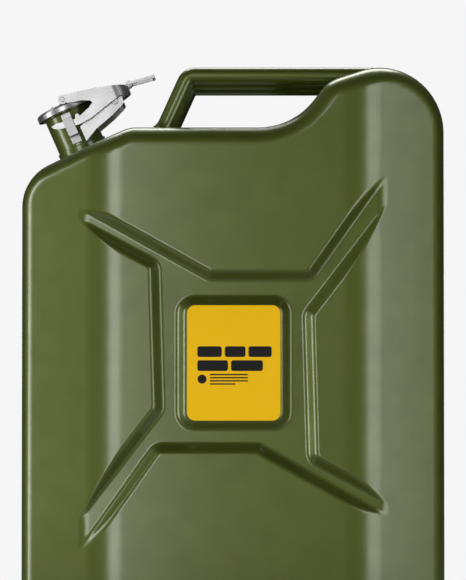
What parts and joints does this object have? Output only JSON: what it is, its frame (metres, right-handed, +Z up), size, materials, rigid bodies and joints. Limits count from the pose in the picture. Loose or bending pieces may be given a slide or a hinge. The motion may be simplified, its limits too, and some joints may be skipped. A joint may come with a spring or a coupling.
{
  "type": "jerry can",
  "caption": "Flat-sided olive steel fuel can with a leaning spout, hinged cam-lever cap, carrying bars and a pressed X on each face.",
  "frame": {"origin": "centre of the base, on the floor", "axes": "+X from the spout side to the tall shoulder, +Y from the front (labelled) face to the rear face, +Z up"},
  "size_m": [0.345, 0.165, 0.47],
  "materials": {
    "olive_paint": "satin",
    "zinc_plated_steel": "brushed",
    "black_rubber": "matte",
    "yellow_label": "matte"
  },
  "bodies": {
    "can": {"front_shell": "olive_paint", "rear_shell": "olive_paint", "weld_seam": "olive_paint", "label_plate": "yellow_label", "handle_front": "olive_paint", "handle_middle": "olive_paint", "handle_rear": "olive_paint", "neck": "olive_paint", "neck_collar": "olive_paint", "breather_tube": "olive_paint", "keeper_front": "zinc_plated_steel", "keeper_rear": "zinc_plated_steel", "hinge_bracket": "zinc_plated_steel", "hinge_pin": "zinc_plated_steel"},
    "lid": {"cap": "zinc_plated_steel", "cap_gasket": "black_rubber", "gasket_retainer": "zinc_plated_steel", "cap_bridge": "zinc_plated_steel", "bridge_rivets": "zinc_plated_steel"},
    "lever_body": {"lever": "zinc_plated_steel", "lever_pins": "zinc_plated_steel"},
    "loop": {"safety_loop": "zinc_plated_steel"}
  },
  "joints": [
    {"name": "lid_hinge", "type": "hinge", "parent": "can", "child": "lid", "pos_m": [-0.09766, 0, 0.44476], "axis": [0, 1, 0], "range_deg": [0, 72]},
    {"name": "lever_pivot", "type": "hinge", "parent": "lid", "child": "lever_body", "pos_m": [-0.14083, 0, 0.44558], "axis": [0, -1, 0], "range_deg": [0, 60]},
    {"name": "loop_pivot", "type": "hinge", "parent": "lever_body", "child": "loop", "pos_m": [-0.08665, 0, 0.46073], "axis": [0, -1, 0], "range_deg": [0, 70]}
  ]
}
